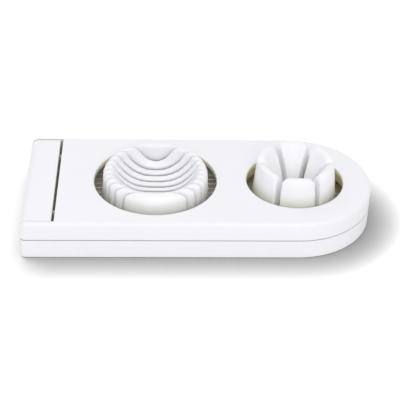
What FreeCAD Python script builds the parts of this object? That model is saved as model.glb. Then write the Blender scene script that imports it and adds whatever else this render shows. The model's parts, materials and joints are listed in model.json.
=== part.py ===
"""Egg slicer: a slicing bed and a wedge bed in one base, under one hinged lid strung with wires.

Millimetres, +Z up. +X runs from the hinge to the round end, and +Y to the back.
The origin is on the table, under the middle of the base.
"""
import FreeCAD
import Part

import math
import os

from FreeCAD import Vector

# Plan, in order from the hinge end to the round end
hinge_block_depth = 15.3
swing_slot = 1.4
hinge_land = 17.8
slicing_hole_radius = 31.0
bridge = 15.0
wedge_hole_radius = 24.5
wedge_land = 14.1
hinge_end_width = 78.4

# Base and lid mouldings
floor = 2.0
wall = 2.2
base_height = 10.2
seam = 0.4
lid_height = 9.8
plate = 2.5
base_corner_radius = 2.0
base_foot_chamfer = 0.4
lid_edge_radius = 1.8
hole_edge_chamfer = 0.4

# Hinge
pivot_inset = 4.0
rod_diameter = 3.0
rod_fit = 0.02
rod_running_fit = 0.05
rod_end_gap = 0.2
socket_depth = 1.2
block_end_gap = 0.35
block_wall = 2.0
block_rib = 2.0
block_rib_spacing = 24.0
block_edge_radius = 1.0
lug_width = 1.2
lug_depth = 2.5
lug_reach = 1.8
lug_spacing = 50.0
lug_gap = 0.05

# Wires and what holds them
wire_diameter = 0.5
wire_hole_fit = 0.05
wire_rise = 1.4
wire_pitch = 4.1
slicing_wire_count = 11
wedge_wire_count = 3
wedge_wire_step = 0.6
bead_diameter = 1.6
bead_length = 1.2
bead_seat_depth = 0.5
bead_seat_fit = 0.1
wire_cover = 0.8
rail_thickness = 3.6
rail_setback = 2.2
rail_overhang = 4.5
rail_fit = 0.1
rail_rib = 1.4
rail_rib_height = 4.0
ring_thickness = 3.0
ring_setback = 2.2

# Slicing bed
slicing_gap = 4.4
slicing_draft = 3.0
slicing_rim = 4.4
slicing_shoulder_radius = 2.8
bowl_rise = 1.2
bowl_depth = 13.8
bowl_draft = 15.0
bowl_dish_radius = 50.0
bowl_corner_radius = 6.0
bowl_edge_radius = 1.4
groove_width = 1.3
groove_run = 2.0

# Wedge bed
wedge_gap = 4.0
wedge_draft = 5.5
petal_rim = 3.2
petal_edge_radius = 1.5
cup_drop = 4.0
cup_depth = 24.6
cup_draft = 20.0
cup_dish_radius = 26.0
cup_corner_radius = 4.0
petal_slot = 2.7
petal_corner_radius = 2.6

# Seats of the two beds on the floor
bed_deck = 2.0
bed_skirt = 2.6
spigot_fit = 0.05
spigot_wall = 1.6
spigot_height = 2.5

# Places along X that follow from the plan
end_radius = wedge_hole_radius + wedge_land
length = (hinge_block_depth + swing_slot + hinge_land + 2 * slicing_hole_radius
          + bridge + 2 * wedge_hole_radius + wedge_land)
left = -length / 2
block_right = left + hinge_block_depth
plate_left = block_right + swing_slot
slicing_x = plate_left + hinge_land + slicing_hole_radius
wedge_x = length / 2 - end_radius

# Heights that follow from the mouldings
skirt_bottom = base_height + seam
lid_top = skirt_bottom + lid_height
plate_bottom = lid_top - plate
wire_z = skirt_bottom + wire_rise
holder_bottom = wire_z - wire_cover
groove_bottom = wire_z - groove_run

# Hinge axis, and the ends of the block between the lid's arms
pivot = Vector(left + pivot_inset, 0, lid_top - pivot_inset)
arm_inside = hinge_end_width / 2 - wall
block_half_width = arm_inside - block_end_gap
heel_radius = pivot.z - base_height - seam / 2

# Each side of the plan is a straight line from the hinge end that runs tangent into the round end
corner_run = left - wedge_x
corner_side = hinge_end_width / 2
side_angle = (math.atan2(corner_run, corner_side)
              + math.acos(end_radius / math.hypot(corner_run, corner_side)))
side_normal = Vector(math.sin(side_angle), math.cos(side_angle), 0)

UP = Vector(0, 0, 1)
ALONG_Y = Vector(0, 1, 0)
TOLERANCE = 1e-4


def side_y(x, inset):
    """Half width of the plan at x, on the straight side."""
    return (end_radius - inset - side_normal.x * (x - wedge_x)) / side_normal.y


def plan_solid(inset, bottom, top):
    """The plan, drawn in by an inset, between two heights."""
    radius = end_radius - inset
    corner = Vector(left + inset, side_y(left + inset, inset), bottom)
    touch = Vector(wedge_x + radius * side_normal.x, radius * side_normal.y, bottom)
    tip = Vector(wedge_x + radius, 0, bottom)
    front_corner = Vector(corner.x, -corner.y, bottom)
    front_touch = Vector(touch.x, -touch.y, bottom)
    edges = [
        Part.LineSegment(front_corner, corner).toShape(),
        Part.LineSegment(corner, touch).toShape(),
        Part.Arc(touch, tip, front_touch).toShape(),
        Part.LineSegment(front_touch, front_corner).toShape(),
    ]
    return Part.Face(Part.Wire(edges)).extrude(UP * (top - bottom))


def box(x0, x1, y0, y1, z0, z1):
    """A block between two corners."""
    return Part.makeBox(x1 - x0, y1 - y0, z1 - z0, Vector(x0, y0, z0))


def mirrored_boxes(x0, x1, y0, y1, z0, z1):
    """A block and its twin on the other side of the XZ plane."""
    return [box(x0, x1, y0, y1, z0, z1), box(x0, x1, -y1, -y0, z0, z1)]


def post(x, y, radius, bottom, top):
    """An upright cylinder."""
    return Part.makeCylinder(radius, top - bottom, Vector(x, y, bottom), UP)


def ring(x, inner, outer, bottom, top):
    """An upright tube round a point on the X axis."""
    return post(x, 0, outer, bottom, top).cut(post(x, 0, inner, bottom, top))


def turned(edges, x):
    """Turn a profile in the XZ plane about the upright axis, and stand it at x."""
    solid = Part.Face(Part.Wire(edges)).revolve(Vector(0, 0, 0), UP, 360)
    solid.translate(Vector(x, 0, 0))
    return solid


def line(r0, z0, r1, z1):
    """A straight stretch of a profile in the XZ plane."""
    return Part.LineSegment(Vector(r0, 0, z0), Vector(r1, 0, z1)).toShape()


def arc_about(centre, radius, start, end):
    """An arc in the XZ plane about a centre, between two angles in degrees from +X."""
    points = []
    for angle in (start, (start + end) / 2, end):
        turn = math.radians(angle)
        points.append(centre + Vector(radius * math.cos(turn), 0, radius * math.sin(turn)))
    return Part.Arc(*points).toShape()


def middle(edge):
    """The point halfway along an edge."""
    return edge.valueAt((edge.FirstParameter + edge.LastParameter) / 2)


def circles(shape, radius, z):
    """The round edges of one radius at one height."""
    found = []
    for edge in shape.Edges:
        if edge.Degenerated or not isinstance(edge.Curve, Part.Circle):
            continue
        if abs(edge.Curve.Radius - radius) < TOLERANCE and abs(middle(edge).z - z) < TOLERANCE:
            found.append(edge)
    return found


def bed_radius(gap, hole_radius, draft, z):
    """Outside radius of a drafted bed, which clears its hole by the gap at the lid's top."""
    return hole_radius - gap - (z - lid_top) * math.tan(math.radians(draft))


def hollow_profile(radius, bottom, top, draft, dish_radius, corner_radius):
    """A bed's hollow from its rim to its axis: a drafted wall, a round corner and a dished floor."""
    lean = math.radians(draft)
    down = Vector(-math.sin(lean), 0, -math.cos(lean))
    inward = Vector(-math.cos(lean), 0, math.sin(lean))
    dish_centre = Vector(0, 0, bottom + dish_radius)
    start = Vector(radius, 0, top) + inward * corner_radius - dish_centre
    along = start.dot(down)
    run = math.sqrt(along ** 2 - start.dot(start) + (dish_radius - corner_radius) ** 2) - along
    corner_reach = start + down * run
    corner_centre = dish_centre + corner_reach
    wall_foot = corner_centre - inward * corner_radius
    dish_angle = math.degrees(math.atan2(corner_reach.z, corner_reach.x))
    return [
        line(radius, top, wall_foot.x, wall_foot.z),
        arc_about(corner_centre, corner_radius, -draft, dish_angle),
        arc_about(dish_centre, dish_radius, dish_angle, -90),
    ]


slicing_pocket_radius = bed_radius(slicing_gap, slicing_hole_radius, slicing_draft, floor) - bed_skirt
wedge_pocket_radius = bed_radius(wedge_gap, wedge_hole_radius, wedge_draft, floor) - bed_skirt


def hinge_block():
    """The raised block at the hinge end, rounded about the hinge axis."""
    profile = [
        line(left, floor, left, pivot.z),
        arc_about(pivot, pivot_inset, 180, 90),
        line(pivot.x, lid_top, block_right, lid_top),
        line(block_right, lid_top, block_right, floor),
        line(block_right, floor, left, floor),
    ]
    face = Part.Face(Part.Wire(profile))
    face.translate(Vector(0, -block_half_width, 0))
    block = face.extrude(ALONG_Y * (2 * block_half_width))
    rounded = []
    for edge in block.Edges:
        point = middle(edge)
        at_end = abs(abs(point.y) - block_half_width) < TOLERANCE
        if at_end and point.z > floor + TOLERANCE and point.x < block_right - TOLERANCE:
            rounded.append(edge)
    return block.makeFillet(block_edge_radius, rounded)


def hinge_block_cells():
    """The hollows under the block, with ribs left between them to carry the rod."""
    x0 = left + block_wall
    x1 = block_right - block_wall
    top = lid_top - block_wall
    rib_near = (block_rib_spacing - block_rib) / 2
    rib_far = (block_rib_spacing + block_rib) / 2
    cells = mirrored_boxes(x0, x1, rib_far, block_half_width - block_wall, 0, top)
    cells.append(box(x0, x1, -rib_near, rib_near, 0, top))
    return cells


def base_tray():
    """Tray with the hinge block, the lugs that the closed lid rests on and a spigot for each bed."""
    outside = plan_solid(0, 0, base_height)
    upright = []
    for edge in outside.Edges:
        point = middle(edge)
        if abs(point.x - left) < TOLERANCE and abs(point.y) > TOLERANCE:
            upright.append(edge)
    outside = outside.makeFillet(base_corner_radius, upright)
    foot = [edge for edge in outside.Edges if edge.BoundBox.ZMax < TOLERANCE]
    outside = outside.makeChamfer(base_foot_chamfer, foot)
    tray = outside.cut(plan_solid(wall, floor, lid_top))
    spigots = [
        ring(x, radius - spigot_fit - spigot_wall, radius - spigot_fit, floor, floor + spigot_height)
        for x, radius in ((slicing_x, slicing_pocket_radius), (wedge_x, wedge_pocket_radius))
    ]
    lug_top = plate_bottom - lug_gap
    lugs = mirrored_boxes(block_right - block_wall, plate_left + lug_reach,
                          (lug_spacing - lug_width) / 2, (lug_spacing + lug_width) / 2,
                          lug_top - lug_depth, lug_top)
    tray = tray.fuse([hinge_block()] + spigots + lugs).removeSplitter()
    bore = Part.makeCylinder(rod_diameter / 2 + rod_fit, 2 * block_half_width,
                             Vector(pivot.x, -block_half_width, pivot.z), ALONG_Y)
    return tray.cut(hinge_block_cells() + [bore])


def hinge_rod():
    """Steel rod through the block, with an end in each arm of the lid."""
    half = arm_inside + socket_depth - rod_end_gap
    return Part.makeCylinder(rod_diameter / 2, 2 * half, Vector(pivot.x, -half, pivot.z), ALONG_Y)


def slicing_bed():
    """Round bed with a hollow for an egg lying down, and a groove for each slicing wire."""
    bowl_floor = wire_z + bowl_rise
    top = bowl_floor + bowl_depth
    foot = bed_radius(slicing_gap, slicing_hole_radius, slicing_draft, floor)
    crown = bed_radius(slicing_gap, slicing_hole_radius, slicing_draft, top)
    bowl_radius = crown - slicing_rim
    under = groove_bottom - bed_deck
    bed = turned([
        line(0, under, slicing_pocket_radius, under),
        line(slicing_pocket_radius, under, slicing_pocket_radius, floor),
        line(slicing_pocket_radius, floor, foot, floor),
        line(foot, floor, crown, top),
        line(crown, top, bowl_radius, top),
        *hollow_profile(bowl_radius, bowl_floor, top, bowl_draft, bowl_dish_radius, bowl_corner_radius),
        line(0, bowl_floor, 0, under),
    ], slicing_x)
    bed = bed.makeFillet(slicing_shoulder_radius, circles(bed, crown, top))
    bed = bed.makeFillet(bowl_edge_radius, circles(bed, bowl_radius, top))
    grooves = []
    for y in slicing_wire_places():
        grooves.append(box(slicing_x - foot, slicing_x + foot,
                           y - groove_width / 2, y + groove_width / 2, groove_bottom, top))
    return bed.cut(grooves)


def petal_slot_cutter(reach, top):
    """What a slot along X takes away: straight below, and rounded off to both sides at the petals' tops."""
    half = petal_slot / 2
    spread = half + petal_corner_radius
    shoulder = top - petal_corner_radius
    turn = petal_corner_radius * math.sqrt(0.5)

    def at(y, z):
        return Vector(-reach, y, z)

    outline = Part.Wire([
        Part.LineSegment(at(-half, groove_bottom), at(-half, shoulder)).toShape(),
        Part.Arc(at(-half, shoulder), at(turn - spread, shoulder + turn), at(-spread, top)).toShape(),
        Part.LineSegment(at(-spread, top), at(spread, top)).toShape(),
        Part.Arc(at(spread, top), at(spread - turn, shoulder + turn), at(half, shoulder)).toShape(),
        Part.LineSegment(at(half, shoulder), at(half, groove_bottom)).toShape(),
        Part.LineSegment(at(half, groove_bottom), at(-half, groove_bottom)).toShape(),
    ])
    return Part.Face(outline).extrude(Vector(2 * reach, 0, 0))


def wedge_bed():
    """Cup for an egg standing up, split by the wires' slots into a crown of petals."""
    cup_floor = wire_z - cup_drop
    top = cup_floor + cup_depth
    foot = bed_radius(wedge_gap, wedge_hole_radius, wedge_draft, floor)
    crown = bed_radius(wedge_gap, wedge_hole_radius, wedge_draft, top)
    cup_radius = crown - petal_rim
    under = cup_floor - bed_deck
    bed = turned([
        line(0, under, wedge_pocket_radius, under),
        line(wedge_pocket_radius, under, wedge_pocket_radius, floor),
        line(wedge_pocket_radius, floor, foot, floor),
        line(foot, floor, crown, top),
        line(crown, top, cup_radius, top),
        *hollow_profile(cup_radius, cup_floor, top, cup_draft, cup_dish_radius, cup_corner_radius),
        line(0, cup_floor, 0, under),
    ], wedge_x)
    bed = bed.makeFillet(petal_edge_radius, circles(bed, crown, top) + circles(bed, cup_radius, top))
    slots = []
    for angle in wedge_wire_angles():
        slot = petal_slot_cutter(foot, top)
        slot.rotate(Vector(0, 0, 0), UP, angle)
        slot.translate(Vector(wedge_x, 0, 0))
        slots.append(slot)
    return bed.cut(slots)


def lid_blank():
    """The lid's outside: the plan, with arms rounded about the hinge axis, and softened upper edges."""
    heel_start = 180 + math.degrees(math.acos(pivot_inset / heel_radius))
    heel_end = 180 + math.degrees(math.asin((pivot.z - skirt_bottom) / heel_radius))
    heel_top = pivot.z - heel_radius * math.sin(math.radians(heel_start - 180))
    heel_x = pivot.x - heel_radius * math.cos(math.radians(heel_end - 180))
    tip = wedge_x + 2 * end_radius
    profile = [
        line(left, heel_top, left, pivot.z),
        arc_about(pivot, pivot_inset, 180, 90),
        line(pivot.x, lid_top, tip, lid_top),
        line(tip, lid_top, tip, skirt_bottom),
        line(tip, skirt_bottom, heel_x, skirt_bottom),
        arc_about(pivot, heel_radius, heel_end, heel_start),
    ]
    face = Part.Face(Part.Wire(profile))
    face.translate(Vector(0, -hinge_end_width, 0))
    blank = plan_solid(0, skirt_bottom, lid_top).common(face.extrude(ALONG_Y * (2 * hinge_end_width)))
    softened = []
    for edge in blank.Edges:
        point = middle(edge)
        on_side = abs(abs(point.y) - side_y(point.x, 0)) < TOLERANCE
        on_end = abs(math.hypot(point.x - wedge_x, point.y) - end_radius) < TOLERANCE
        upper = point.z > pivot.z + TOLERANCE and (on_side or on_end)
        arm_end = on_side and abs(point.x - left) < TOLERANCE
        if upper or arm_end:
            softened.append(edge)
    return blank.makeFillet(lid_edge_radius, softened)


def lid():
    """Lid plate with its skirt, two hinge arms, two holes and the ribs that hold the wire rails."""
    shell = lid_blank()
    hinge_gap = box(left, plate_left, -arm_inside, arm_inside, skirt_bottom, lid_top)
    inside = plan_solid(wall, skirt_bottom, plate_bottom)
    inside = inside.cut(box(left, plate_left, -hinge_end_width, hinge_end_width, skirt_bottom, lid_top))
    slicing_hole = post(slicing_x, 0, slicing_hole_radius, skirt_bottom, lid_top)
    wedge_hole = post(wedge_x, 0, wedge_hole_radius, skirt_bottom, lid_top)
    sockets = [
        Part.makeCylinder(rod_diameter / 2 + rod_running_fit, socket_depth,
                          Vector(pivot.x, side * arm_inside, pivot.z), ALONG_Y * side)
        for side in (-1, 1)
    ]
    shell = shell.cut([hinge_gap, inside, slicing_hole, wedge_hole] + sockets)
    rims = circles(shell, slicing_hole_radius, lid_top) + circles(shell, wedge_hole_radius, lid_top)
    shell = shell.makeChamfer(hole_edge_chamfer, rims)
    return shell.fuse(rail_ribs()).removeSplitter()


def slicing_wire_places():
    """Y of each slicing wire, evenly spaced about the middle."""
    return [wire_pitch * (index - (slicing_wire_count - 1) / 2) for index in range(slicing_wire_count)]


def wedge_wire_angles():
    """Direction of each wedge wire in degrees, evenly spaced from +X."""
    return [180 * index / wedge_wire_count for index in range(wedge_wire_count)]


rail_near = slicing_hole_radius + rail_setback
rail_far = rail_near + rail_thickness
rail_half_length = slicing_wire_places()[-1] + rail_overhang
ring_inner = wedge_hole_radius + ring_setback
ring_outer = ring_inner + ring_thickness
bead_seat = ring_outer - bead_seat_depth


def rail_ribs():
    """Ribs under the plate: one against the pull of the wires, and a stop at each end of a rail."""
    bottom = plate_bottom - rail_rib_height
    ribs = []
    for side in (-1, 1):
        inner = sorted(slicing_x + side * (rail_near - rail_fit - depth) for depth in (0, rail_rib))
        across = sorted(slicing_x + side * reach for reach in (rail_near - rail_fit - rail_rib, rail_far))
        stop = rail_half_length + rail_fit
        ribs.append(box(inner[0], inner[1], -rail_half_length, rail_half_length, bottom, plate_bottom))
        ribs += mirrored_boxes(across[0], across[1], stop, stop + rail_rib, bottom, plate_bottom)
    for rib_index, rib in enumerate(ribs):
        ribs[rib_index] = rib.cut(post(slicing_x, 0, slicing_hole_radius, bottom, plate_bottom))
    return ribs


def wire_rail(side):
    """Bar under the plate, bored for the slicing wires."""
    near, far = sorted(slicing_x + side * reach for reach in (rail_near, rail_far))
    bar = box(near, far, -rail_half_length, rail_half_length, holder_bottom, plate_bottom)
    holes = []
    for y in slicing_wire_places():
        holes.append(Part.makeCylinder(wire_diameter / 2 + wire_hole_fit, far - near,
                                       Vector(near, y, wire_z), Vector(1, 0, 0)))
    return bar.cut(holes)


def beaded_wire(half_span):
    """A wire along X, with a crimped bead outside each of its two seats."""
    half_length = half_span + bead_length
    wire = Part.makeCylinder(wire_diameter / 2, 2 * half_length, Vector(-half_length, 0, 0), Vector(1, 0, 0))
    beads = [
        Part.makeCylinder(bead_diameter / 2, bead_length, Vector(start, 0, 0), Vector(1, 0, 0))
        for start in (-half_length, half_span)
    ]
    return wire.fuse(beads).removeSplitter()


def slicing_wire(y):
    """One straight wire across the slicing hole."""
    wire = beaded_wire(rail_far)
    wire.translate(Vector(slicing_x, y, wire_z))
    return wire


def wedge_wire(index):
    """One wire across the wedge hole, a step above the one before it."""
    wire = beaded_wire(bead_seat)
    wire.rotate(Vector(0, 0, 0), UP, wedge_wire_angles()[index])
    wire.translate(Vector(wedge_x, 0, wire_z + index * wedge_wire_step))
    return wire


def wedge_wire_ring():
    """Ring under the plate, bored for the wedge wires, with a seat for each bead."""
    holder = ring(wedge_x, ring_inner, ring_outer, holder_bottom, plate_bottom)
    cuts = []
    for index, angle in enumerate(wedge_wire_angles()):
        for turn in (angle, angle + 180):
            hole = Part.makeCylinder(wire_diameter / 2 + wire_hole_fit, ring_outer, Vector(0, 0, 0), Vector(1, 0, 0))
            seat = Part.makeCylinder(bead_diameter / 2 + bead_seat_fit, ring_thickness,
                                     Vector(bead_seat, 0, 0), Vector(1, 0, 0))
            for cut in (hole, seat):
                cut.rotate(Vector(0, 0, 0), UP, turn)
                cut.translate(Vector(wedge_x, 0, wire_z + index * wedge_wire_step))
                cuts.append(cut)
    return holder.cut(cuts)


def pieces():
    """Every piece of the slicer under its node's name."""
    named = {
        "base_tray": base_tray(),
        "slicing_bed": slicing_bed(),
        "wedge_bed": wedge_bed(),
        "hinge_rod": hinge_rod(),
        "lid": lid(),
        "wire_rail_left": wire_rail(-1),
        "wire_rail_right": wire_rail(1),
        "wedge_wire_ring": wedge_wire_ring(),
    }
    for number, y in enumerate(slicing_wire_places(), start=1):
        named[f"slicing_wire_{number:02d}"] = slicing_wire(y)
    for index in range(wedge_wire_count):
        named[f"wedge_wire_{index + 1}"] = wedge_wire(index)
    return named


os.makedirs("parts", exist_ok=True)
for node, shape in pieces().items():
    shape.exportStep(f"parts/{node}.step")
    print(node, len(shape.Solids), round(shape.Volume, 1), shape.isValid())
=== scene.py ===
# %% [markdown]
# # An egg slicer in white plastic
# The slicer is a tray with two beds, under one hinged lid that is strung with wires.
# Its solids come in as a fixed frame, in metres, with +Z up, +X from the hinge end to the round end
# and +Y to the back. This lesson gives them their finish, rounds the two beds, and sets the light and
# the camera.

import json
import math

import bmesh
import bpy
from mathutils import Matrix, Vector


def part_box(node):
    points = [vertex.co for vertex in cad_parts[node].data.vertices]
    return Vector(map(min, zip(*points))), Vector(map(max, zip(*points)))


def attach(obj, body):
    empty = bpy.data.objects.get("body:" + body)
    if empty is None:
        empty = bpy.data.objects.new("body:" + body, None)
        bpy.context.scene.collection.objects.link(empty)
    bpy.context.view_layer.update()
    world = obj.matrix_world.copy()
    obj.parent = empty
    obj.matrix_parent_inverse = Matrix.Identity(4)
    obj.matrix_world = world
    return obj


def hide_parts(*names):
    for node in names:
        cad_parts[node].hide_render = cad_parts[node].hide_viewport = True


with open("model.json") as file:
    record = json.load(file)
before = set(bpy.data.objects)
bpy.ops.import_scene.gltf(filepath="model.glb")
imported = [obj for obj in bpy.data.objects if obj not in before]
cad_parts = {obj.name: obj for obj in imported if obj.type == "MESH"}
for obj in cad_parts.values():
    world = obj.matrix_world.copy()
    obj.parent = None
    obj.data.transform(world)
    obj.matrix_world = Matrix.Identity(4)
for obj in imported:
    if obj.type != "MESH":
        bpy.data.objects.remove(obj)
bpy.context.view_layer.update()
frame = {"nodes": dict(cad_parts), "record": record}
scene = bpy.context.scene
MM = 0.001

# %% [markdown]
# ## Shader maths
# Procedural finishes are sums and products of a few noises. Written as a node tree, each sign is a node
# and two links, which hides the sum. So a small class wraps a socket, and Python's own operators add
# the Math nodes. Every other node comes from one method that takes its type, settings and inputs.

# %% A socket that does sums
PROBES = 8


class Value:
    """A socket of a node tree that can be added, subtracted and multiplied."""

    def __init__(self, finish, socket):
        self.finish = finish
        self.socket = socket

    def math(self, operation, first, second):
        return self.finish.node("ShaderNodeMath", {"operation": operation}, {0: first, 1: second})

    def __add__(self, other):
        return self.math("ADD", self, other)

    def __radd__(self, other):
        return self.math("ADD", other, self)

    def __sub__(self, other):
        return self.math("SUBTRACT", self, other)

    def __rsub__(self, other):
        return self.math("SUBTRACT", other, self)

    def __mul__(self, other):
        return self.math("MULTIPLY", self, other)

    def __rmul__(self, other):
        return self.math("MULTIPLY", other, self)

    def limited(self):
        return self.math("MINIMUM", self, 1.0)


class Finish:
    """A material or a world whose nodes are added one call at a time."""

    def __init__(self, name, store=bpy.data.materials, end="ShaderNodeOutputMaterial"):
        self.holder = store.new(name)
        self.holder.use_nodes = True
        self.tree = self.holder.node_tree
        self.tree.nodes.clear()
        self.end = self.tree.nodes.new(end)

    def node(self, kind, settings=None, inputs=None, output=0):
        """Add a node, set it up, feed its sockets and give back one of its outputs."""
        made = self.tree.nodes.new(kind)
        for name, setting in (settings or {}).items():
            setattr(made, name, setting)
        for name, value in (inputs or {}).items():
            if isinstance(value, Value):
                self.tree.links.new(value.socket, made.inputs[name])
            else:
                made.inputs[name].default_value = value
        return Value(self, made.outputs[output])

    def noise(self, place, scale, detail):
        """A smooth noise around one half: its waves per metre, and how many finer ones ride on it."""
        return self.node("ShaderNodeTexNoise", {}, {"Vector": place, "Scale": scale, "Detail": detail}, "Fac")

    def mix_colour(self, share, first, second):
        """A colour between two, by a share that changes over the surface."""
        return self.node("ShaderNodeMix", {"data_type": "RGBA"}, {0: share, 6: first, 7: second}, 2)

    def place(self):
        """The point on the piece, in metres."""
        return self.node("ShaderNodeTexCoord", output="Object")

    def openness(self, reach):
        """How much of the space around a point is free as far as the reach, from zero to one."""
        return self.node("ShaderNodeAmbientOcclusion", {"samples": PROBES}, {"Distance": reach}, "AO")

    def seen(self):
        """One for a ray from the camera, off a gloss or through a glass, and zero for other rays."""
        rays = self.tree.nodes.new("ShaderNodeLightPath")
        camera, gloss, glass = (Value(self, rays.outputs["Is " + kind + " Ray"])
                                for kind in ("Camera", "Glossy", "Transmission"))
        return (camera + gloss + glass).limited()

    def show(self, surface):
        """Make a shader what is seen of the material or the world."""
        self.tree.links.new(surface.socket, self.end.inputs["Surface"])
        return self.holder


# %% [markdown]
# ## White moulded plastic
# The tray, beds and lid are moulded in one white plastic with a satin skin. Such a skin is not flat:
# the tool leaves a fine spark-eroded grain, the melt leaves slow clouds in the colour, and wiping
# leaves patches with a little more gloss. Three noises of different sizes give these. The mould's
# edges are never sharp, so a bevelled normal softens each edge where it catches the light.
#
# Light and shade are painted into this plastic's colour, from how closed in a point is, measured once over a
# long reach for the hollows and once over a short one for the seams. On the case, deep hollows get a yellow
# painted shade and seams a grey painted shade. On the beds the whites are a lighter copy of the case's and
# deep hollows are painted near white, both painted light, while the narrow grooves get a darker grey painted
# shade, so case and beds have a finish each. Both painted tones fade towards the top.

# %% The plastic
GRAIN_PER_METRE, GRAIN_DETAIL = 2600, 2.0
CLOUD_PER_METRE, CLOUD_DETAIL = 45, 3.0
WIPE_PER_METRE, WIPE_DETAIL = 130, 4.0
GRAIN_HEIGHT = 0.012 * MM
GRAIN_STRENGTH = 0.35
EDGE_SOFTNESS = 0.5 * MM
SATIN_ROUGHNESS = 0.30
WIPE_ROUGHNESS = 0.14
GRAIN_ROUGHNESS = 0.06
PLASTIC_IOR = 1.53
CORNER_REACH = 20 * MM
CORNER_GAIN = 2
SEAM_REACH = 2 * MM
SEAM_GAIN = 1.2
CASE_WHITES = ((0.94, 0.934, 0.972, 1), (0.92, 0.914, 0.95, 1))
# The beds' whites are a lighter copy of the case's whites: painted light.
PAINTED_LIGHTER_BED_WHITES = ((0.955, 0.95, 0.98, 1), (0.94, 0.934, 0.964, 1))
# Near-white painted light for the beds' deep hollows, lighter than the beds' own whites.
PAINTED_HOLLOW_LIGHT = (0.98, 0.98, 0.97, 1)
# Yellow painted shade for the case's deep hollows.
PAINTED_HOLLOW_SHADE = (0.82, 0.74, 0.30, 1)
# Grey painted shade for seams, and a darker one for the beds' grooves.
PAINTED_SEAM_SHADE = (0.60, 0.60, 0.60, 1)
PAINTED_GROOVE_SHADE = (0.28, 0.28, 0.26, 1)
# Between these heights the painted shade and light tones fade towards the top.
SHADE_FADE_FROM = 20 * MM
SHADE_FADE_TO = 31 * MM
SHADE_FADE_GAIN = 0.8


def white_plastic(name, whites, painted_hollow_tone, painted_seam_tone):
    """Satin plastic with two whites in clouds, a tone painted into deep hollows in place of their light and
    shade, and a painted shade in seams.
    """
    finish = Finish(name)
    place = finish.place()
    grain = finish.noise(place, GRAIN_PER_METRE, GRAIN_DETAIL)
    clouds = finish.noise(place, CLOUD_PER_METRE, CLOUD_DETAIL)
    wipes = finish.noise(place, WIPE_PER_METRE, WIPE_DETAIL)
    soft_edges = finish.node("ShaderNodeBevel", {"samples": PROBES}, {"Radius": EDGE_SOFTNESS})
    room = finish.openness(CORNER_REACH)
    clearance = finish.openness(SEAM_REACH)
    height = finish.node("ShaderNodeSeparateXYZ", {}, {0: place}, "Z")
    shade_fade = finish.node("ShaderNodeMapRange", {},
                         {"Value": height, "From Min": SHADE_FADE_FROM, "From Max": SHADE_FADE_TO})
    open_white = finish.mix_colour(clouds, *whites)
    # Where the hollow tone is painted: closed in over the long reach but open close by.
    painted_hollow_share = clearance * (1 - (CORNER_GAIN * room).limited()) * (1 - shade_fade)
    white_with_painted_hollows = finish.mix_colour(painted_hollow_share, open_white, painted_hollow_tone)
    # Share left free of the grey painted seam shade, which also fades towards the top.
    free_of_seam_shade = (SEAM_GAIN * clearance + SHADE_FADE_GAIN * shade_fade).limited()
    grained = finish.node("ShaderNodeBump", {}, {
        "Strength": GRAIN_STRENGTH,
        "Distance": GRAIN_HEIGHT,
        "Height": grain,
        "Normal": soft_edges,
    })
    surface = finish.node("ShaderNodeBsdfPrincipled", {}, {
        "Base Color": finish.mix_colour(free_of_seam_shade, painted_seam_tone, white_with_painted_hollows),
        "Roughness": SATIN_ROUGHNESS + WIPE_ROUGHNESS * wipes + GRAIN_ROUGHNESS * grain,
        "IOR": PLASTIC_IOR,
        "Normal": grained,
    })
    return finish.show(surface)


# The case gets painted shade in its hollows and seams; the beds get lighter whites and painted light in their
# hollows, and darker painted shade in their grooves.
case_white_painted_shade = white_plastic("case_white_painted_shade", CASE_WHITES, PAINTED_HOLLOW_SHADE, PAINTED_SEAM_SHADE)
bed_white_painted_light_shade = white_plastic("bed_white_painted_light_shade", PAINTED_LIGHTER_BED_WHITES, PAINTED_HOLLOW_LIGHT, PAINTED_GROOVE_SHADE)
for plastic in (case_white_painted_shade, bed_white_painted_light_shade):
    print(plastic.name, "has", len(plastic.node_tree.nodes), "nodes")

# %% [markdown]
# ## Drawn stainless wire
# The wires and the hinge rod are drawn through a die, which leaves streaks along their length. The slicing
# wires run along X, so a noise that is stretched along X streaks their roughness, with a trace of colour.
# The wedge wires and the rod, which is hidden, share this finish.

# %% The steel
STREAKS_PER_METRE = (60, 2200, 2200)
STREAK_DETAIL = 3.0
BRIGHT_STEEL = (0.54, 0.54, 0.55, 1)
DULL_STEEL = (0.44, 0.44, 0.45, 1)
DRAWN_ROUGHNESS = 0.30
STREAK_ROUGHNESS = 0.20


def drawn_steel():
    """Steel with streaks along X from the die."""
    finish = Finish("drawn_steel")
    stretched = finish.node("ShaderNodeMapping", {},
                            {"Vector": finish.place(), "Scale": STREAKS_PER_METRE})
    streaks = finish.noise(stretched, 1, STREAK_DETAIL)
    surface = finish.node("ShaderNodeBsdfPrincipled", {}, {
        "Base Color": finish.mix_colour(streaks, BRIGHT_STEEL, DULL_STEEL),
        "Metallic": 1.0,
        "Roughness": DRAWN_ROUGHNESS + STREAK_ROUGHNESS * streaks,
    })
    return finish.show(surface)


steel = drawn_steel()
print(steel.name, "has", len(steel.node_tree.nodes), "nodes")

# %% [markdown]
# ## Dressing the solids
# The record says which solid is plastic and which is steel, so the finishes follow it, and a solid of
# either kind that is added later is dressed without a change here.

# %% Dress the solids
FINISHES = {"white_plastic": case_white_painted_shade, "stainless_steel": steel}

for subpart in frame["record"]["subparts"]:
    solid = frame["nodes"][subpart["node"]]
    solid.data.materials.clear()
    solid.data.materials.append(FINISHES[subpart["material_slot"]])

# %% [markdown]
# ## Rounded beds
# On the real slicer every rib and petal is rounded over, so that the egg slides on them and the wires
# find their grooves. A bevel on each edge would tangle where the grooves run out through the round rim.
# Instead a copy of the bed is rebuilt as an even skin of small squares, and a few passes of smoothing
# wear its edges down as tumbling wears a pebble, while faces that are already smooth stay put.

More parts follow.
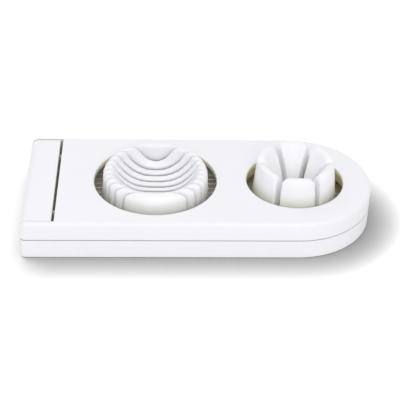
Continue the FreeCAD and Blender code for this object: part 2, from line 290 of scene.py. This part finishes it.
# %% Wear the edges round
SKIN_SQUARE = 0.5 * MM
WEAR_PASSES = 6
SAME_POINT = 0.001 * MM


def worn_copy(node):
    """A copy of a bed's mesh as an even skin with its edges worn round."""
    skin = bmesh.new()
    skin.from_mesh(frame["nodes"][node].data)
    bmesh.ops.remove_doubles(skin, verts=skin.verts, dist=SAME_POINT)
    rough = bpy.data.meshes.new(node + "_skin")
    skin.to_mesh(rough)
    skin.free()
    block = bpy.data.objects.new(node + "_skin", rough)
    scene.collection.objects.link(block)
    squares = block.modifiers.new("squares", "REMESH")
    squares.mode = "VOXEL"
    squares.voxel_size = SKIN_SQUARE
    wear = block.modifiers.new("wear", "SMOOTH")
    wear.iterations = WEAR_PASSES
    worn = bpy.data.meshes.new_from_object(block.evaluated_get(bpy.context.evaluated_depsgraph_get()))
    bpy.data.objects.remove(block)
    return worn


slicing_skin = worn_copy("slicing_bed")
wedge_skin = worn_copy("wedge_bed")
print("squares:", len(slicing_skin.polygons), "and", len(wedge_skin.polygons))

# %% [markdown]
# ## A hollow for an egg that lies down
# The solid's hollow is turned about the upright axis, with a shallow dish, a rounded corner and a steep
# wall. An egg lies across the wires, along Y, so on the real bed the left and right walls have the
# curve of an egg's side, and only the two ends are steep. A new solid would cut all eleven grooves again.
# It is simpler to lift each point of the skin by the difference between the two hollows at its radius:
# ribs and grooves ride up together, and what lies as deep as the wires stays where it is.

# %% The two hollows
BOWL_DEPTH = 13.8 * MM
BOWL_RADIUS = 21.85 * MM
WALL_SLOPE = 3.73
WALL_START = 19.97 * MM
CORNER_RADIUS = 6.0 * MM
CORNER_CENTRE = (14.18 * MM, 8.35 * MM)
CORNER_START = 16.11 * MM
DISH_RADIUS = 50.0 * MM
EGG_RISE = 13.2 * MM
EGG_RADIUS = 21.6 * MM
EGG_POWER = 3.2


def turned_height(radius):
    """How far the turned hollow has risen from its floor at a radius: dish, corner, wall and rim."""
    if radius < CORNER_START:
        return DISH_RADIUS - math.sqrt(DISH_RADIUS ** 2 - radius ** 2)
    if radius < WALL_START:
        return CORNER_CENTRE[1] - math.sqrt(CORNER_RADIUS ** 2 - (radius - CORNER_CENTRE[0]) ** 2)
    return min(BOWL_DEPTH, BOWL_DEPTH - (BOWL_RADIUS - radius) * WALL_SLOPE)


def egg_height(radius):
    """How far a hollow with the curve of an egg's side has risen at a radius."""
    return min(BOWL_DEPTH, EGG_RISE * (radius / EGG_RADIUS) ** EGG_POWER)


print("at the corner the egg's hollow is higher by",
      round((egg_height(WALL_START) - turned_height(WALL_START)) / MM, 2), "mm")

# %% Lean the hollow's sides in
RIM_CREST = 23.6 * MM
WIRE_DEPTH = 15.0 * MM
WIRE_MARGIN = 1.6 * MM
SIDE_POWER = 4


def bed_top(node):
    """The point of a bed's axis that is level with its top."""
    low, high = (Vector(corner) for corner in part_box(node))
    return Vector(((low.x + high.x) / 2, (low.y + high.y) / 2, high.z))


def lean_sides_in(worn, node):
    """Give the hollow's two sides the curve of an egg, and leave its ends and the wires' level."""
    top = bed_top(node)
    for point in worn.vertices:
        along = point.co.y - top.y
        radius = math.hypot(point.co.x - top.x, along)
        if 0 < radius < RIM_CREST:
            sideways = 1 - (along / radius) ** SIDE_POWER
            above = min(1, max(0, (point.co.z - top.z + WIRE_DEPTH) / WIRE_MARGIN))
            point.co.z += (egg_height(radius) - turned_height(radius)) * sideways * above


lean_sides_in(slicing_skin, "slicing_bed")
print("the slicing bed's hollow fits an egg")

# %% [markdown]
# ## A rim that falls away
# The solid's rim is a flat band with a sharp outer edge. On the real bed the rim falls away to the outside,
# so that each rib ends like a fingertip, and it falls most at the two ends, where the egg's tips lie.
# Lowering the points towards the outer edge does that, and because no point moves sideways, the grooves
# stay straight for the wires.

# %% Round the rim
RIM_INSIDE = 23.0 * MM
RIM_OUTSIDE = 26.25 * MM
END_FALL = 2.4 * MM
SIDE_FALL = 0.8 * MM
END_POWER = 6
RIM_REACH = 10.0 * MM


def round_rim(worn, node):
    """Lower the rim towards its outer edge, and the wall below it less and less."""
    top = bed_top(node)
    for point in worn.vertices:
        depth = max(0, top.z - point.co.z)
        along = point.co.y - top.y
        radius = math.hypot(point.co.x - top.x, along)
        if radius > RIM_INSIDE and depth < RIM_REACH:
            fall = SIDE_FALL + (END_FALL - SIDE_FALL) * (along / radius) ** END_POWER
            outwards = min(1, (radius - RIM_INSIDE) / (RIM_OUTSIDE - RIM_INSIDE))
            point.co.z -= fall * outwards ** 2 * (1 - depth / RIM_REACH) ** 2


round_rim(slicing_skin, "slicing_bed")
print("the rim falls by", END_FALL / MM, "mm at the ends")

# %% [markdown]
# ## Petals that thicken towards their foot
# A petal is moulded between an outer tool and a core that both have to pull out, so it is thin at its
# tip and thick at its foot. The skin's inner points move towards the middle, the more the nearer they
# are to the cup's wall, and the outside stays. The slots are as wide at the foot as at the tip, because
# a wire has to run down them. So each point also turns about the middle, which keeps a slot's
# two sides parallel.

# %% Lean the petals in
CROWN_RADIUS = 19.3 * MM
CROWN_SLOPE = 0.096
CUP_RADIUS = 16.1 * MM
CUP_SLOPE = 0.364
CUP_DEPTH = 24.6 * MM
CUP_MIDDLE = 6.0 * MM
PETAL_LEAN = 0.25
HALF_SLOT = 1.35 * MM
HALF_PETAL = math.radians(30)


def kept_slot(turn, radius, moved):
    """The turn of a point that moves to a new radius, so that the slot beside it keeps its width."""
    slot = 2 * HALF_PETAL * round(turn / (2 * HALF_PETAL))
    edge, moved_edge = math.asin(HALF_SLOT / radius), math.asin(HALF_SLOT / moved)
    away = abs(turn - slot)
    if away < edge:
        moved_away = away * moved_edge / edge
    else:
        moved_away = moved_edge + (away - edge) * (HALF_PETAL - moved_edge) / (HALF_PETAL - edge)
    return slot + math.copysign(moved_away, turn - slot)


def lean_petals_in(worn, node):
    """Thicken the petals towards their foot, and keep the slots between them as wide as they are."""
    top = bed_top(node)
    for point in worn.vertices:
        depth = top.z - point.co.z
        across, along = point.co.x - top.x, point.co.y - top.y
        radius = math.hypot(across, along)
        outside = CROWN_RADIUS + depth * CROWN_SLOPE
        if CUP_MIDDLE < radius < outside and depth <= CUP_DEPTH:
            wall = outside - CUP_RADIUS + depth * CUP_SLOPE
            lean = PETAL_LEAN * depth * (1 - (depth / CUP_DEPTH) ** 2)
            moved = radius - lean * min(1, (outside - radius) / wall)
            turn = kept_slot(math.atan2(along, across), radius, moved)
            point.co.x = top.x + moved * math.cos(turn)
            point.co.y = top.y + moved * math.sin(turn)


lean_petals_in(wedge_skin, "wedge_bed")
print("the petals are thicker at their foot")

# %% [markdown]
# ## Tips that are arched
# A petal's tip has no corners that could tear the egg: it is lower beside the slots than in its middle.
# So the skin sinks towards each slot, most at the very top, and not at all below the tip.

# %% Arch the tips
TIP_DEPTH = 8.0 * MM
TIP_SINK = 3.0 * MM
TIP_POWER = 4


def arch_tips(worn, node):
    """Lower the petals' tips towards the slots."""
    top = bed_top(node)
    for point in worn.vertices:
        depth = max(0, top.z - point.co.z)
        if depth < TIP_DEPTH:
            turn = math.atan2(point.co.y - top.y, point.co.x - top.x)
            towards_slot = 2 * abs(turn / (2 * HALF_PETAL) % 1 - 0.5)
            point.co.z -= TIP_SINK * towards_slot ** TIP_POWER * (1 - depth / TIP_DEPTH) ** 2


arch_tips(wedge_skin, "wedge_bed")
print("the tips are arched")

# %% [markdown]
# ## The beds in their places
# Where points have moved the skin is stretched, so a last light smoothing evens it out. Each copy then
# takes the place of the solid that it was made from, on the base.

# %% Set the beds in
LAST_PASSES = 4
LAST_SHARE = 0.5


def set_in(worn, node):
    """Even out a worn skin and put it in the place of a bed."""
    skin = bmesh.new()
    skin.from_mesh(worn)
    for _ in range(LAST_PASSES):
        bmesh.ops.smooth_vert(skin, verts=skin.verts, factor=LAST_SHARE,
                              use_axis_x=True, use_axis_y=True, use_axis_z=True)
    skin.to_mesh(worn)
    skin.free()
    worn.shade_smooth()
    worn.materials.clear()
    worn.materials.append(bed_white_painted_light_shade)
    bed = bpy.data.objects.new(node + "_rounded", worn)
    scene.collection.objects.link(bed)
    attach(bed, "base")
    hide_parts(node)
    print(bed.name, "has", len(worn.polygons), "faces")


set_in(slicing_skin, "slicing_bed")
set_in(wedge_skin, "wedge_bed")

# %% [markdown]
# ## Table
# The slicer stands on a white table that runs out of the picture. The table throws light back at the slicer
# as white paper does. For the camera it is greyer and glows instead, so that it is white without more light
# on the slicer, and the glow fades where the slicer closes the table in. That fade is a painted shadow, soft,
# leaning to the front and the right by a tilted normal, over the faint real shadows in the paper's grey.

# %% The table
TABLE_HALF = 3.0
TABLE_DROP = 0.05 * MM
TABLE_WHITE = (0.85, 0.85, 0.85, 1)
TABLE_SEEN = (0.28, 0.28, 0.28, 1)
# The colour of the painted shadow where the table is closed in.
PAINTED_SHADOW_DARK = (0, 0, 0, 1)
TABLE_GLOW = (0.85, 0.85, 0.85, 1)
CONTACT_REACH = 20 * MM
CONTACT_PROBES = 16
SHADOW_LEAN = (-0.57, 0.28, 0.77)


def table_finish():
    """White paper that glows for the camera, with a painted shadow where the slicer closes it in."""
    finish = Finish("table_painted_shadow")
    seen = finish.seen()
    paper = finish.node("ShaderNodeBsdfDiffuse", {},
                        {"Color": finish.mix_colour(seen, TABLE_WHITE, TABLE_SEEN)})
    leaning = finish.node("ShaderNodeCombineXYZ", {}, dict(zip("XYZ", SHADOW_LEAN)))
    openness = finish.node("ShaderNodeAmbientOcclusion", {"samples": CONTACT_PROBES},
                           {"Distance": CONTACT_REACH, "Normal": leaning}, "AO")
    # The glow dims where the slicer closes the table in: a painted shadow.
    glow_with_painted_shadow = finish.node("ShaderNodeEmission", {},
                       {"Color": finish.mix_colour(seen * openness * openness, PAINTED_SHADOW_DARK, TABLE_GLOW)})
    return finish.show(finish.node("ShaderNodeAddShader", {}, {0: paper, 1: glow_with_painted_shadow}))


sheet = bmesh.new()
bmesh.ops.create_grid(sheet, x_segments=1, y_segments=1, size=TABLE_HALF,
                      matrix=Matrix.Translation((0, 0, -TABLE_DROP)))
table_mesh = bpy.data.meshes.new("table")
sheet.to_mesh(table_mesh)
sheet.free()
table_mesh.materials.append(table_finish())
table = bpy.data.objects.new("table", table_mesh)
scene.collection.objects.link(table)
print("the table is", 2 * TABLE_HALF, "m wide")

# %% [markdown]
# ## Lamps and room
# White things are photographed in a white room, with large lamps whose shadows are soft. A lamp in front
# lights the faces that the camera sees, and a weaker one behind on the left throws a faint real shadow to the
# front and the right, under the table's painted shadow. The room that the camera and the gloss see is pure
# white. What it gives as light is less, so that the lamps still model the ribs and the white plastic doesn't
# clip.

# %% The lamps and the room
ROOM_LIGHT = (0.72, 0.72, 0.72, 1)
ROOM_SEEN = (1, 1, 1, 1)


def lamp(name, place, size, watts):
    """A square lamp that faces the slicer."""
    light = bpy.data.lights.new(name, "AREA")
    light.size = size
    light.energy = watts
    fixture = bpy.data.objects.new(name, light)
    fixture.location = place
    fixture.rotation_euler = (-Vector(place)).to_track_quat("-Z", "Y").to_euler()
    scene.collection.objects.link(fixture)


lamp("back_lamp", place=(-0.45, 0.75, 1.05), size=0.9, watts=2.2)
lamp("front_lamp", place=(0.15, -1.0, 0.80), size=0.7, watts=4.5)

room = Finish("pale_room", bpy.data.worlds, "ShaderNodeOutputWorld")
room_colour = room.mix_colour(room.seen(), ROOM_LIGHT, ROOM_SEEN)
scene.world = room.show(room.node("ShaderNodeBackground", {}, {"Color": room_colour}))
scene.view_settings.view_transform = "Standard"
print("lamps:", [light.name for light in bpy.data.lights])

# %% [markdown]
# ## Camera
# A product picture like this one is taken with a long lens from well back, so that the sides stay
# nearly parallel. The camera looks down by about 35 degrees from the front.

# %% The camera
AIM = Vector((0.89, -3.43, 10.0)) * MM
AZIMUTH = math.radians(-1.99)
ELEVATION = math.radians(34.91)
ROLL = math.radians(1.49)
DISTANCE = 669.1 * MM
LENS = 118.34
SENSOR = 36.0
NEAREST = 10 * MM

towards_camera = Vector((math.sin(AZIMUTH) * math.cos(ELEVATION),
                         -math.cos(AZIMUTH) * math.cos(ELEVATION),
                         math.sin(ELEVATION)))
lens = bpy.data.cameras.new("camera")
lens.lens = LENS
lens.sensor_width = SENSOR
lens.clip_start = NEAREST
camera = bpy.data.objects.new("camera", lens)
turn = (-towards_camera).to_track_quat("-Z", "Y").to_matrix() @ Matrix.Rotation(ROLL, 3, "Z")
camera.matrix_world = Matrix.Translation(AIM + towards_camera * DISTANCE) @ turn.to_4x4()
scene.collection.objects.link(camera)
scene.camera = camera
print("the camera is at", [round(share, 3) for share in camera.matrix_world.translation])
